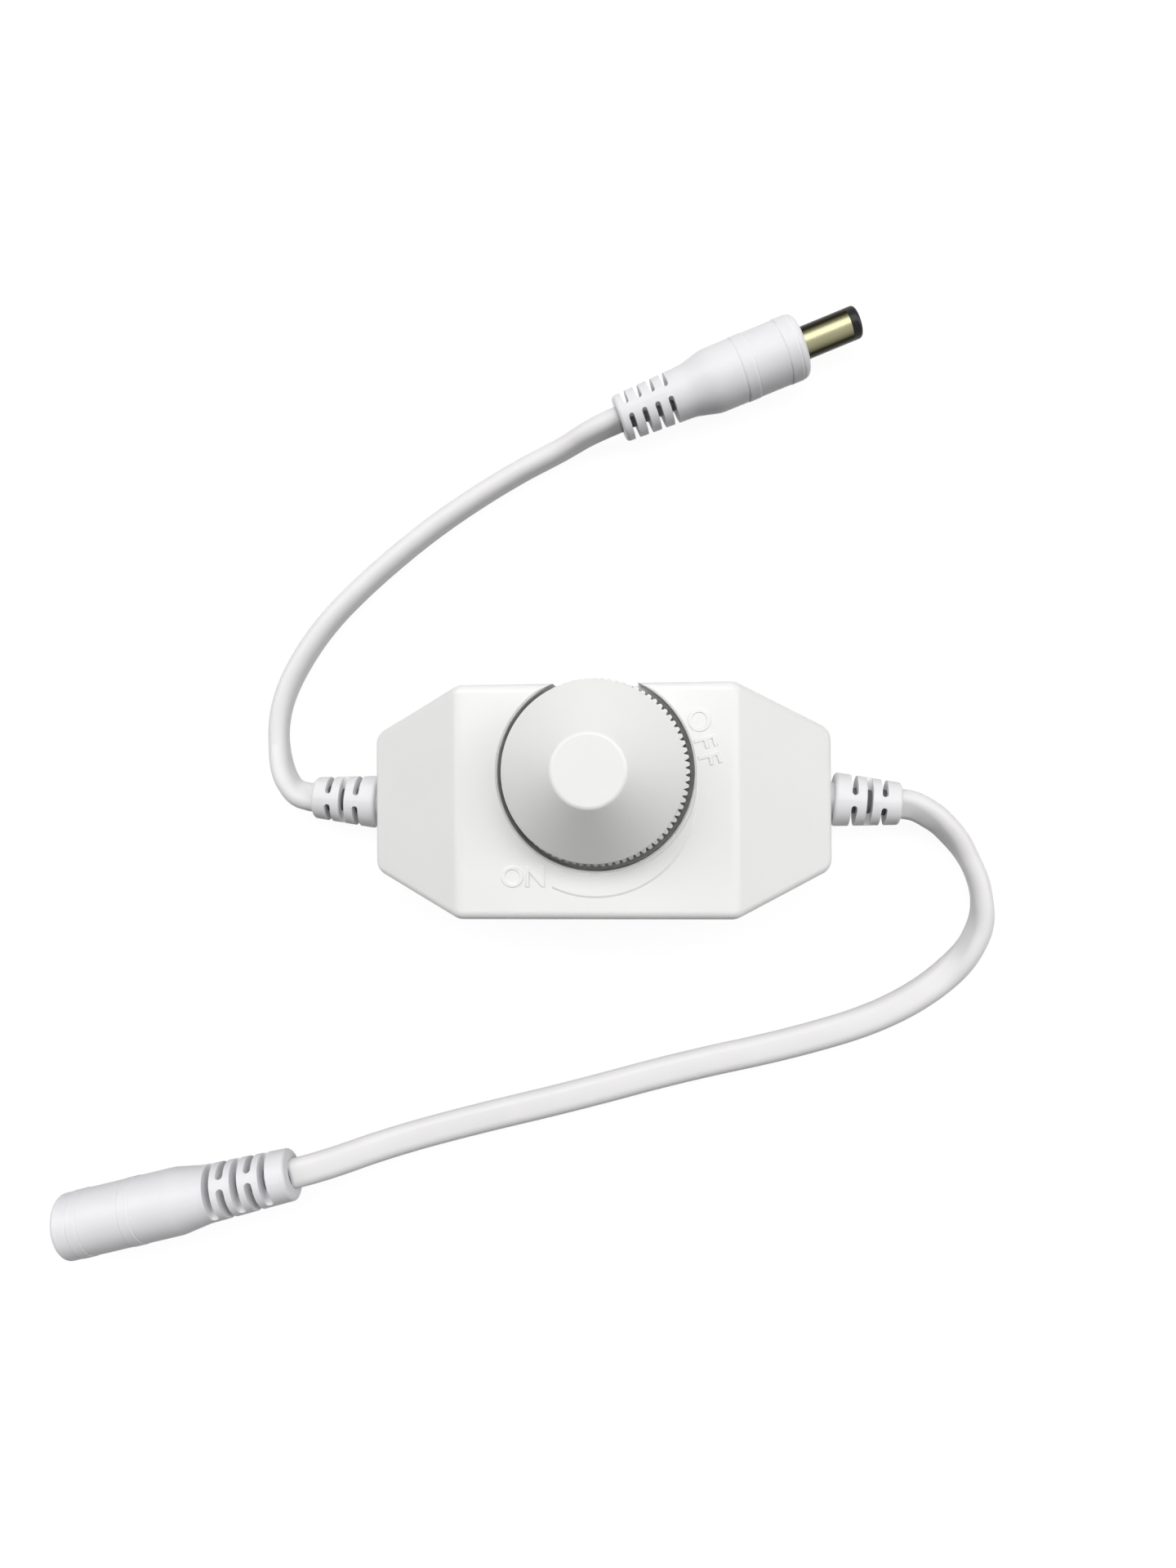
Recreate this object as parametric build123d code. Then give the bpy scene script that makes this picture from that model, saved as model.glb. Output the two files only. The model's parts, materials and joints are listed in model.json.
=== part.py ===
from build123d import *
import math
import os

os.makedirs("parts", exist_ok=True)

# Inline rotary dimmer, all sizes in millimetres.
# X runs along the case to the socket lead, Y to the side where the knob stands out, Z up.

# case outside
case_length = 75.0
case_width = 36.8
case_height = 21.5
flat_length = 43.2
end_width = 22.7
end_height = 10.0
split_height = 5.0
end_corner_radius = 2.6
side_corner_radius = 2.4
ridge_radius = 3.0
top_edge_radius = 1.4
bottom_edge_radius = 0.6

# case inside
wall = 2.0
floor_thickness = 1.6
lip_height = 1.2
lip_gap = 0.1
post_radius = 1.6
peg_radius = 1.0
peg_gap = 0.1
post_inset = 2.5

# knob and its recess
knob_y = 4.5
rim_radius = 14.0
rim_height = 5.1
rim_round = 0.4
disc_radius = 5.5
disc_height = 13.7
disc_round = 0.8
knurl_teeth = 80
knurl_depth = 0.65
knurl_root = 0.1
knurl_crest_share = 0.4
knurl_above_case = 0.5
knob_wall = 1.8
knob_rib = 1.0
knob_rib_lift = 1.5
hub_radius = 5.0
knob_side_gap = 0.75
knob_gap = 0.5
recess_depth = 6.0
recess_edge = 0.3
recess_wall = 1.6
recess_floor_thickness = 2.0

# potentiometer
shaft_radius = 3.0
shaft_fit = 0.05
bushing_radius = 3.5
bushing_fit = 0.1
pot_radius = 8.5
pot_collar = 1.1
pot_wall = 1.0
pot_cover = 1.2
track_thickness = 1.0
rotor_radius = 6.2
rotor_thickness = 1.6
wiper_thickness = 0.3
wiper_lift = 0.1
shaft_bite = 11.0
shaft_flat = 2.2
pivot_radius = 1.5
collar_radius = 6.0

# circuit board and what it carries
core_radius = 0.8
board_length = 42.0
board_side_gap = 1.4
board_thickness = 1.6
pin_tail = 0.8

# screws that hold the two halves
screw_x = 28.0
screw_y = 9.0
screw_shank_radius = 1.0
screw_head_radius = 2.0
screw_head_height = 1.6
screw_reach = 6.0
screw_sink = 0.5
screw_hole_gap = 0.2
column_radius = 2.6

# leads and their strain reliefs
jacket_radius = 2.15
neck_radius = 2.9
relief_root_radius = 4.5
relief_tip_radius = 3.5
relief_length = 11.0
relief_neck = 0.7
relief_round = 0.6
blend_radius = 6.0
inner_flange_length = 1.6
inner_flange_radius = 3.3
jacket_inside = 3.0
plug_relief_lean = -4.4
socket_relief_lean = 4.4
relief_bend_radius = 60.0
slot_width = 1.0
slot_pitch = 2.45
slot_first = 3.2
slot_bridge = 1.8
slot_rows = 3

# plug
plug_radius = 5.5
plug_head_length = 16.0
plug_neck_end = 20.0
plug_neck_radius = 4.4
plug_tip_radius = 3.9
plug_length = 32.4
plug_round = 1.2
plug_heading = 20.8
plug_slot_first = 23.5
plug_slot_pitch = 2.33
plug_slot_rows = 4
plug_slot_width = 0.9
plug_slot_bridge = 1.8
plug_slot_roll = 0.0
plug_bands = (0.2, 7.8)
jacket_in_plug = 14.0
barrel_radius = 2.75
barrel_length = 10.0
barrel_wall = 0.3
barrel_root = 8.0
shank_radius = 2.4
insulator_tip = 1.7
contact_outer_radius = 1.45
contact_bore_radius = 1.05
contact_depth = 9.5
contact_tail = 1.0

# socket
socket_radius = 5.8
socket_head_length = 21.0
socket_neck_end = 26.0
socket_neck_radius = 4.9
socket_tip_radius = 4.4
socket_length = 41.5
socket_round = 0.9
socket_heading = 14.0
socket_slot_first = 27.8
socket_slot_pitch = 2.45
socket_slot_rows = 5
socket_slot_width = 1.3
socket_slot_bridge = 1.6
socket_slot_roll = 26.0
socket_bands = (2.0, 11.4)
jacket_in_socket = 15.0
mouth_radius = 2.85
mouth_depth = 10.5
socket_liner_radius = 4.0
socket_liner_length = 13.0
pin_radius = 1.0
pin_root_radius = 1.5
pin_recess = 1.2
spring_width = 2.4
spring_thickness = 0.25
spring_length = 8.0

# raised bands round the plug and the socket, placed behind the rounded edge of each face
band_width = 2.0
band_height = 0.08

# sizes that follow from the ones above
half_length = case_length / 2
half_width = case_width / 2
half_flat = flat_length / 2
board_width = case_width - 2 * (wall + board_side_gap)
board_edge = board_width / 2
crest_radius = rim_radius + knurl_depth
recess_radius = crest_radius + knob_side_gap
recess_floor = case_height - recess_depth
recess_underside = recess_floor - recess_floor_thickness
board_top = split_height - core_radius
board_bottom = board_top - board_thickness
knob_bottom = recess_floor + knob_gap
knurl_top = case_height + knurl_above_case
rim_z = case_height + rim_height
knob_top = case_height + disc_height
pot_top = recess_underside - pot_collar
relief_face = half_length + relief_neck

# The leads leave the case along X, come down to the table and lie on it in a loose curve.
# Each route is listed from the strain relief to the plug or the socket.
plug_reach = 4.6
socket_reach = 5.5
plug_end = Vector(3.3, 64.1, plug_radius)
socket_end = Vector(-53.4, -63.4, socket_radius)


def heading(angle):
    return Vector(math.cos(math.radians(angle)), math.sin(math.radians(angle)), 0)


def relief_angle(side, lean):
    return 90 - 90 * side - side * lean


def lead_start(side, lean, beyond=0.0):
    root = Vector(side * relief_face, 0, split_height)
    return root + heading(relief_angle(side, lean)) * (relief_length + beyond)


plug_lead_route = [
    lead_start(-1, plug_relief_lean),
    lead_start(-1, plug_relief_lean, 2.0),
    Vector(-53.4, 2.2, 4.8),
    Vector(-55.1, 4.6, 4.5),
    Vector(-56.3, 8.3, 3.8),
    Vector(-56.7, 12.4, 3.2),
    Vector(-55.9, 17.6, 2.8),
    Vector(-53.1, 23.8, 2.7),
    Vector(-47.8, 31.3, 2.7),
    Vector(-39.6, 39.1, 2.7),
    Vector(-28.6, 47.8, 2.7),
    Vector(-15.8, 55.7, 2.7),
    Vector(-6.0, 60.4, 3.5),
    plug_end - heading(plug_heading) * plug_reach,
    plug_end,
]

socket_lead_route = [
    lead_start(1, socket_relief_lean),
    lead_start(1, socket_relief_lean, 1.8),
    Vector(53.4, -2.1, 4.8),
    Vector(56.5, -4.3, 4.4),
    Vector(60.1, -8.5, 3.7),
    Vector(62.9, -14.8, 3.1),
    Vector(62.9, -22.0, 2.8),
    Vector(57.6, -29.5, 2.7),
    Vector(46.8, -36.4, 2.7),
    Vector(31.5, -41.2, 2.6),
    Vector(13.0, -45.3, 2.4),
    Vector(-5.0, -50.4, 2.3),
    Vector(-24.0, -55.1, 2.3),
    Vector(-38.0, -59.1, 3.0),
    socket_end + heading(socket_heading) * socket_reach,
    socket_end,
]


def save(shape, node):
    export_step(shape, "parts/" + node + ".step")


def rod(radius, bottom, top):
    return extrude(Plane.XY.offset(bottom) * Circle(radius), top - bottom)


def ring(outer, inner, bottom, top):
    return rod(outer, bottom, top) - rod(inner, bottom, top)


def block(x_size, y_size, z_size, x=0, y=0, bottom=0):
    return Pos(x, y, bottom + z_size / 2) * Box(x_size, y_size, z_size)


def cross_rod(radius, start, end, height=split_height):
    return Pos(start, 0, height) * (Plane.YZ * extrude(Circle(radius), end - start))


# Outside of the case

def end_slope():
    return (case_height - end_height) / (half_length - half_flat)


def plan_face(inset=0.0):
    corners = [
        (half_length, -end_width / 2),
        (half_length, end_width / 2),
        (half_flat, half_width),
        (-half_flat, half_width),
        (-half_length, end_width / 2),
        (-half_length, -end_width / 2),
        (-half_flat, -half_width),
        (half_flat, -half_width),
    ]
    face = make_face(Polyline(*corners, close=True))
    if inset > 0:
        face = offset(face, -inset, kind=Kind.INTERSECTION)
    limit = half_length - inset - 0.01
    ends = face.vertices().filter_by(lambda v: abs(v.X) > limit)
    face = fillet(ends, max(end_corner_radius - inset, 0.4))
    sides = face.vertices().filter_by(lambda v: abs(v.Y) > half_width - inset - 0.01)
    return fillet(sides, side_corner_radius)


def side_face(drop=0.0):
    reach = half_length + wall
    low = end_height - end_slope() * wall - drop
    corners = [
        (-reach, 0),
        (reach, 0),
        (reach, low),
        (half_flat, case_height - drop),
        (-half_flat, case_height - drop),
        (-reach, low),
    ]
    face = Plane.XZ * make_face(Polyline(*corners, close=True))
    ridges = face.vertices().filter_by(lambda v: v.Z > case_height - drop - 0.01)
    return fillet(ridges, ridge_radius)


def is_upright(edge):
    size = edge.bounding_box().size
    return size.X < 0.01 and size.Y < 0.01


def is_ridge(edge):
    size = edge.bounding_box().size
    return size.X < 0.01 and size.Y > end_width / 2 and abs(edge.center().X) < half_length - 1


def case_outside():
    solid = extrude(plan_face(), case_height) & extrude(side_face(), half_width + wall, both=True)
    top = solid.edges().filter_by(lambda e: e.center().Z > split_height)
    top = top.filter_by(lambda e: not is_upright(e) and not is_ridge(e))
    solid = fillet(top, top_edge_radius)
    bottom = solid.edges().filter_by(lambda e: e.center().Z < 0.01)
    return fillet(bottom, bottom_edge_radius)


def case_inside():
    drop = wall / math.cos(math.atan(end_slope()))
    return extrude(plan_face(wall), case_height) & extrude(side_face(drop), half_width, both=True)


def screw_places():
    return [Pos(x, y, 0) for x in (-screw_x, screw_x) for y in (-screw_y, screw_y)]


def post_places():
    x = board_length / 2 - post_inset
    y = board_width / 2 - post_inset
    return [Pos(sign_x * x, sign_y * y, 0) for sign_x in (-1, 1) for sign_y in (-1, 1)]


def neck_hole():
    reach = half_length + wall
    return cross_rod(neck_radius, -reach, -half_flat) + cross_rod(neck_radius, half_flat, reach)


# The two halves of the case

def make_upper_case(outside, inside):
    above = block(case_length * 2, case_width * 2, case_height, bottom=split_height)
    shell = (outside & above) - inside
    cup = Pos(0, knob_y, 0) * rod(recess_radius + recess_wall, recess_underside, case_height)
    collar = Pos(0, knob_y, 0) * rod(collar_radius, pot_top, recess_underside)
    shell = shell + (cup & outside) + collar
    for place in screw_places():
        column = place * rod(column_radius, split_height, case_height)
        shell = shell + (column & outside)
    for place in screw_places():
        shell = shell - place * rod(screw_shank_radius, split_height, split_height + screw_reach)
    shell = shell - Pos(0, knob_y, 0) * rod(recess_radius, recess_floor, case_height * 2)
    broken_edge = Cone(recess_radius, recess_radius + recess_edge, recess_edge)
    shell = shell - Pos(0, knob_y, case_height - recess_edge / 2) * broken_edge
    shell = shell - Pos(0, knob_y, 0) * rod(bushing_radius + bushing_fit, 0, case_height)
    rebate = extrude(plan_face(wall / 2), lip_height + lip_gap)
    inner = extrude(plan_face(wall), lip_height + lip_gap)
    shell = shell - Pos(0, 0, split_height) * (rebate - inner)
    return shell - neck_hole()


def make_lower_case(outside):
    below = block(case_length * 2, case_width * 2, split_height)
    tray = (outside & below) - Pos(0, 0, floor_thickness) * extrude(plan_face(wall), split_height)
    lip = extrude(plan_face(wall / 2 + lip_gap), lip_height) - extrude(plan_face(wall), lip_height)
    tray = tray + Pos(0, 0, split_height) * lip
    for place in screw_places():
        tray = tray + place * rod(column_radius, floor_thickness, split_height)
    for place in screw_places():
        head_room = rod(screw_head_radius + screw_hole_gap, 0, screw_sink + screw_head_height)
        tray = tray - place * head_room
        tray = tray - place * rod(screw_shank_radius + screw_hole_gap, 0, split_height)
    for place in post_places():
        tray = tray + place * rod(post_radius, floor_thickness, board_bottom)
        tray = tray + place * rod(peg_radius, board_bottom, board_top)
    return tray - neck_hole()


def make_case_screws():
    head_top = screw_sink + screw_head_height
    screw = rod(screw_head_radius, screw_sink, head_top)
    screw = screw + rod(screw_shank_radius, head_top, split_height + screw_reach - 0.5)
    slot = screw_head_radius * 1.3
    screw = screw - block(slot, slot / 5, slot / 3, bottom=screw_sink)
    screw = screw - block(slot / 5, slot, slot / 3, bottom=screw_sink)
    return Compound([place * screw for place in screw_places()])


# Knob

def around(radius, angle):
    return (radius * math.cos(angle), radius * math.sin(angle))


def knurl():
    pitch = 2 * math.pi / knurl_teeth
    points = []
    for tooth in range(knurl_teeth):
        middle = pitch * tooth
        points.append(around(rim_radius - knurl_root, middle - pitch / 2))
        points.append(around(crest_radius, middle - pitch * knurl_crest_share / 2))
        points.append(around(crest_radius, middle + pitch * knurl_crest_share / 2))
    outline = Plane.XY.offset(knob_bottom) * make_face(Polyline(*points, close=True))
    teeth = extrude(outline, knurl_top - knob_bottom)
    limits = [
        (0, knob_bottom - 1),
        (crest_radius + 1, knob_bottom - 1),
        (crest_radius + 1, knurl_top - knurl_depth - 1),
        (rim_radius - 1, knurl_top + 1),
        (0, knurl_top + 1),
    ]
    return teeth & revolve(Plane.XZ * make_face(Polyline(*limits, close=True)), Axis.Z)


def shaft_bar(bottom, top):
    bar = rod(shaft_radius, bottom, top)
    return bar - block(shaft_radius, shaft_radius * 2, top, x=shaft_flat + shaft_radius / 2)


def knob_hollow():
    lean = (rim_radius - disc_radius) / (knob_top - rim_z)
    inner_radius = rim_radius - knob_wall
    shoulder = rim_z - knob_wall / 2
    ceiling = knob_top - knob_wall * 2.5
    return revolve(Plane.XZ * make_face(Polyline(
        (hub_radius, knob_bottom), (inner_radius, knob_bottom), (inner_radius, shoulder),
        (inner_radius - lean * (ceiling - rim_z), ceiling), (hub_radius, ceiling), close=True)), Axis.Z)


def knob_ribs():
    bar = block(rim_radius * 2, knob_rib, knob_top, bottom=knob_bottom + knob_rib_lift)
    return bar + Rot(0, 0, 90) * bar


def make_control_knob():
    outline = Plane.XZ * make_face(Polyline(
        (0, knob_bottom), (rim_radius, knob_bottom), (rim_radius, rim_z), (disc_radius, knob_top),
        (0, knob_top), close=True))
    rim_corner = outline.vertices().filter_by(lambda v: abs(v.Z - rim_z) < 0.01)
    outline = fillet(rim_corner, rim_round)
    disc_corner = outline.vertices().filter_by(lambda v: v.Z > knob_top - 0.01 and v.X > 0.01)
    outline = fillet(disc_corner, disc_round)
    knob = revolve(outline, Axis.Z) + knurl()
    hollow = knob_hollow()
    knob = knob - (hollow - knob_ribs())
    knob = knob - shaft_bar(knob_bottom, knob_bottom + shaft_bite)
    return Pos(0, knob_y, 0) * knob


# Potentiometer, its axis on the knob's axis

track_bottom = board_top + pot_wall
wiper_bottom = track_bottom + track_thickness + wiper_lift
rotor_bottom = wiper_bottom + wiper_thickness
rotor_top = rotor_bottom + rotor_thickness
cover_bottom = pot_top - pot_cover
terminal_block_depth = 2.5
terminal_block_height = 3.2
terminal_pitch = 5.0
terminal_thickness = 0.5
terminal_width = 1.2
terminal_reach = 1.2


def terminal_face():
    return knob_y - pot_radius - terminal_block_depth / 2


def make_pot_housing():
    housing = rod(pot_radius, board_top, cover_bottom)
    width = terminal_pitch * 2 + terminal_width * 2
    depth = pot_radius + terminal_block_depth / 2
    housing = housing + block(width, depth, terminal_block_height, y=-depth / 2, bottom=board_top)
    housing = housing - rod(pot_radius - pot_wall, track_bottom, cover_bottom)
    return Pos(0, knob_y, 0) * housing


def make_pot_bushing():
    cover = rod(pot_radius, cover_bottom, pot_top) + rod(bushing_radius, pot_top, recess_floor)
    return Pos(0, knob_y, 0) * (cover - rod(shaft_radius + shaft_fit, cover_bottom, recess_floor))


def make_pot_track():
    return Pos(0, knob_y, 0) * rod(pot_radius - pot_wall, track_bottom, track_bottom + track_thickness)


def make_pot_wiper():
    arm = block(rotor_radius, pivot_radius, wiper_thickness, x=-rotor_radius / 2, bottom=wiper_bottom)
    plate = rod(pivot_radius * 2, wiper_bottom, rotor_bottom) + arm
    return Pos(0, knob_y, 0) * plate


def make_pot_rotor():
    return Pos(0, knob_y, 0) * ring(rotor_radius, pivot_radius, rotor_bottom, rotor_top)


def make_pot_shaft():
    pivot = rod(pivot_radius, rotor_bottom, rotor_top)
    plain = rod(shaft_radius, rotor_top, knob_bottom)
    return Pos(0, knob_y, 0) * (pivot + plain + shaft_bar(knob_bottom, knob_bottom + shaft_bite))


def terminal(x):
    face = terminal_face()
    tail = board_bottom - pin_tail
    shelf = board_top + 1.0
    flat = block(terminal_width, terminal_reach, terminal_thickness, x, face - terminal_reach / 2, shelf)
    leg_y = face - terminal_reach + terminal_thickness / 2
    return flat + block(terminal_width, terminal_thickness, shelf - tail, x, leg_y, tail)


def make_pot_terminals():
    return Compound([terminal(x) for x in (-terminal_pitch, 0, terminal_pitch)])


# Circuit board and the parts soldered to it

hole_gap = 0.1
transistor_place = (-13.5, 6.0 - board_edge)
chip_place = (1.5, 3.5 - board_edge)
capacitor_place = (14.5, 6.5 - board_edge)
diode_place = (-14.5, board_edge - 6.5)
resistor_places = [(x, y - board_edge) for x in (-5.5, 7.5) for y in (2.0, 5.0)]
ceramic_places = [(14.0, board_edge - y) for y in (4.0, 7.0)]
transistor_size = (6.6, 6.1, 1.8)
transistor_tab = (5.4, 7.4)
transistor_tab_shift = 1.2
transistor_leg = (0.8, 2.6)
transistor_leg_spread = 2.3
plate_thickness = 0.5
chip_size = (5.0, 3.9, 1.4)
chip_leg = (0.42, 1.0, 0.6)
chip_leg_pitch = 1.27
diode_size = (4.3, 2.6, 2.0)
diode_leg = (0.5, 1.4, 1.1)
body_lift = 0.15
resistor_size = (2.0, 1.25, 0.5)
ceramic_size = (2.0, 1.25, 0.9)
can_radius = 3.15
can_round = 0.5
can_lift = 0.4
can_gap = 1.2
can_top = recess_underside - can_gap
lead_pitch = 2.5
lead_radius = 0.25


def make_circuit_board():
    board = block(board_length, board_width, board_thickness, bottom=board_bottom)
    for place in post_places():
        board = board - place * rod(peg_radius + peg_gap, board_bottom, board_top)
    for x in (-terminal_pitch, 0, terminal_pitch):
        leg_y = terminal_face() - terminal_reach + terminal_thickness / 2
        width = terminal_width + hole_gap * 2
        depth = terminal_thickness + hole_gap * 2
        board = board - block(width, depth, board_thickness, x, leg_y, board_bottom)
    for place in capacitor_lead_places():
        board = board - place * rod(lead_radius + hole_gap, board_bottom, board_top)
    return board


def capacitor_lead_places():
    x, y = capacitor_place
    return [Pos(x - lead_pitch / 2, y, 0), Pos(x + lead_pitch / 2, y, 0)]


def make_power_transistor():
    x, y = transistor_place
    return block(*transistor_size, x, y, board_top + plate_thickness)


def make_transistor_leads():
    x, y = transistor_place
    leads = block(*transistor_tab, plate_thickness, x, y + transistor_tab_shift, board_top)
    leg_y = y - transistor_size[1] / 2 - transistor_leg[1] / 5
    for side in (-1, 1):
        leg_x = x + side * transistor_leg_spread
        leads = leads + block(*transistor_leg, plate_thickness, leg_x, leg_y, board_top)
    return leads


def make_control_chip():
    return block(*chip_size, *chip_place, board_top + body_lift)


def make_chip_leads():
    x, y = chip_place
    reach = (chip_size[1] + chip_leg[1]) / 2
    leads = []
    for number in range(4):
        lead_x = x + (number - 1.5) * chip_leg_pitch
        for side in (-1, 1):
            leads.append(block(*chip_leg, lead_x, y + side * reach, board_top))
    return Compound(leads)


def make_capacitor_can():
    can = rod(can_radius, board_top + can_lift, can_top)
    can = fillet(can.edges().sort_by(Axis.Z)[-1], can_round)
    return Pos(*capacitor_place, 0) * can


def make_capacitor_leads():
    lead = rod(lead_radius, board_bottom - pin_tail, board_top + can_lift)
    return Compound([place * lead for place in capacitor_lead_places()])


def make_diode_body():
    return block(*diode_size, *diode_place, board_top + body_lift)


def make_diode_leads():
    x, y = diode_place
    reach = (diode_size[0] + diode_leg[0]) / 2
    return Compound([block(*diode_leg, x + side * reach, y, board_top) for side in (-1, 1)])


def chip_set(places, size):
    return Compound([block(*size, *place, board_top) for place in places])


# Leads: a smooth round jacket, with the wires that come out of it inside the case

def corner_radii(points):
    radii = []
    for before, corner, after in zip(points, points[1:], points[2:]):
        first = corner - before
        second = after - corner
        turn = math.radians(first.get_angle(second))
        radii.append(0.45 * min(first.length, second.length) / math.tan(turn / 2))
    return radii


def jacket_along(points):
    radii = corner_radii(points)
    print("cord radii", [round(radius, 1) for radius in radii])
    path = FilletPolyline(*points, radius=radii)
    start = Plane(points[0], z_dir=points[1] - points[0])
    cord = sweep(start * Circle(jacket_radius), path=path)
    print("cord length", round(path.length, 1))
    print("volume ratio", round(cord.volume / (math.pi * jacket_radius ** 2 * path.length), 4))
    return cord


def straight_jacket(start, direction, length):
    return extrude(Plane(start, z_dir=direction) * Circle(jacket_radius), length)


def inner_end():
    return half_length - wall - inner_flange_length - jacket_inside


def jacket_in_relief(side, lean):
    start = Vector(side * inner_end(), 0, split_height)
    root = Vector(side * relief_face, 0, split_height)
    end = lead_start(side, lean)
    if lean == 0:
        path = Line(start, end)
    else:
        path = FilletPolyline(start, root, end, radius=relief_bend_radius)
    return sweep(Plane(start, z_dir=root - start) * Circle(jacket_radius), path=path)


def make_lead(points, side, lean, far_length):
    far = straight_jacket(points[-1], points[-1] - points[-2], far_length)
    return jacket_along(points) + jacket_in_relief(side, lean) + far


def core(side, y):
    start = inner_end()
    end = board_length / 2 - 3.5
    low, high = sorted((side * start, side * end))
    return Pos(0, y, 0) * cross_rod(core_radius, low, high)


# Slotted strain reliefs, each drawn along X from the cable end and then put in place

def slot_row(x, width, bridge, roll):
    far = socket_radius * 2
    groove = Plane.YZ * extrude(Circle(far) - Circle(jacket_radius / 2), width)
    slots = Pos(x - width / 2, 0, 0) * groove - Pos(x, 0, 0) * Box(width * 2, bridge + width, far * 3)
    for side in (-1, 1):
        slots = slots + Pos(x, side * (bridge + width) / 2, 0) * Cylinder(width / 2, far)
    return Rot(roll, 0, 0) * slots


def turned(points, rounded):
    face = Plane.XZ * make_face(Polyline(*points, close=True))
    for x, radius, size in rounded:
        corner = face.vertices().filter_by(lambda v: abs(v.X - x) < 0.01 and abs(v.Z - radius) < 0.01)
        face = fillet(corner, size)
    return revolve(face, Axis.X)


def relief_sleeve():
    points = [(0, 0), (relief_length, 0), (relief_length, relief_tip_radius), (0, relief_root_radius)]
    rounded = [(relief_length, relief_tip_radius, relief_round), (0, relief_root_radius, relief_round)]
    sleeve = turned(points, rounded)
    for row in range(slot_rows):
        sleeve = sleeve - slot_row(slot_first + row * slot_pitch, slot_width, slot_bridge, 90 * (row % 2))
    return sleeve


def relief_neck_shape():
    inner = half_length - wall
    flange = inner - inner_flange_length
    points = [
        (flange, 0), (relief_face + relief_neck / 2, 0), (relief_face + relief_neck / 2, neck_radius),
        (inner, neck_radius), (inner, inner_flange_radius), (flange, inner_flange_radius),
    ]
    return turned(points, [])


def make_relief(side, lean):
    neck = Pos(0, 0, split_height) * Rot(0, 0, relief_angle(side, 0)) * relief_neck_shape()
    sleeve = Rot(0, 0, relief_angle(side, lean)) * relief_sleeve()
    return neck + Pos(side * relief_face, 0, split_height) * sleeve - jacket_in_relief(side, lean)


# Plug, drawn along X from the end of its strain relief to the tip of its barrel

def in_plug(shape):
    return Pos(plug_end) * Rot(0, 0, plug_heading) * shape


def x_rod(radius, start, end):
    return Pos(start, 0, 0) * (Plane.YZ * extrude(Circle(radius), end - start))


def barrel_front(radius, end):
    return x_rod(radius, plug_length + barrel_wall, end)


def barrel_shank(radius):
    return x_rod(radius, plug_length - barrel_root, plug_length + barrel_wall)


def plug_barrel_shape():
    end = plug_length + barrel_length - insulator_tip
    tube = x_rod(barrel_radius, plug_length, end)
    tube = tube + x_rod(shank_radius, plug_length - barrel_root, plug_length)
    tube = tube - barrel_front(barrel_radius - barrel_wall, end)
    return tube - barrel_shank(shank_radius - barrel_wall)


def plug_contact_shape():
    end = plug_length + barrel_length - insulator_tip / 2
    bar = x_rod(contact_outer_radius, plug_length - barrel_root - contact_tail, end)
    return bar - x_rod(contact_bore_radius, end - contact_depth, end)


def plug_insulator_shape():
    end = plug_length + barrel_length
    tip = x_rod(barrel_radius, end - insulator_tip, end)
    tip = fillet(tip.edges().sort_by(Axis.X)[-1], barrel_wall * 2)
    front = barrel_front(barrel_radius - barrel_wall, end - insulator_tip)
    sleeve = front + barrel_shank(shank_radius - barrel_wall) + tip
    return sleeve - x_rod(contact_outer_radius, plug_length - barrel_root, end)


def banded_head(face, radius, rounding, bands):
    points = [(face, radius)]
    for place in bands:
        start = face - rounding - place
        end = start - band_width
        points += [(start, radius), (start, radius + band_height), (end, radius + band_height), (end, radius)]
    return points


def make_plug_body():
    head = plug_length - plug_head_length
    neck = plug_length - plug_neck_end
    radius = plug_radius - band_height
    points = [(0, 0), (plug_length, 0)] + banded_head(plug_length, radius, plug_round, plug_bands)
    points += [(head, radius), (neck, plug_neck_radius), (0, plug_tip_radius)]
    rounded = [
        (plug_length, radius, plug_round), (head, radius, blend_radius),
        (neck, plug_neck_radius, blend_radius), (0, plug_tip_radius, relief_round),
    ]
    body = turned(points, rounded) - x_rod(jacket_radius, 0, jacket_in_plug)
    for row in range(plug_slot_rows):
        x = plug_length - plug_slot_first - row * plug_slot_pitch
        body = body - slot_row(x, plug_slot_width, plug_slot_bridge, plug_slot_roll)
    body = body - x_rod(shank_radius, plug_length - barrel_root, plug_length)
    return body - x_rod(contact_outer_radius, plug_length - barrel_root - contact_tail, plug_length)


# Socket, drawn along X from the end of its strain relief to its mouth

def in_socket(shape):
    return Pos(socket_end) * Rot(0, 0, socket_heading + 180) * shape


def spring_shape():
    middle = socket_length - mouth_depth / 2
    return Pos(middle, 0, mouth_radius - spring_thickness / 2) * Box(
        spring_length, spring_width, spring_thickness)


def socket_pin_shape():
    mouth_floor = socket_length - mouth_depth
    pin = x_rod(pin_radius, mouth_floor, socket_length - pin_recess)
    pin = fillet(pin.edges().sort_by(Axis.X)[-1], pin_radius * 0.6)
    return pin + x_rod(pin_root_radius, socket_length - socket_liner_length, mouth_floor)


def socket_liner_shape():
    start = socket_length - socket_liner_length
    mouth_floor = socket_length - mouth_depth
    liner = x_rod(socket_liner_radius, start, socket_length)
    liner = liner - x_rod(mouth_radius, mouth_floor, socket_length)
    return liner - x_rod(pin_root_radius, start, mouth_floor) - spring_shape()


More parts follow.
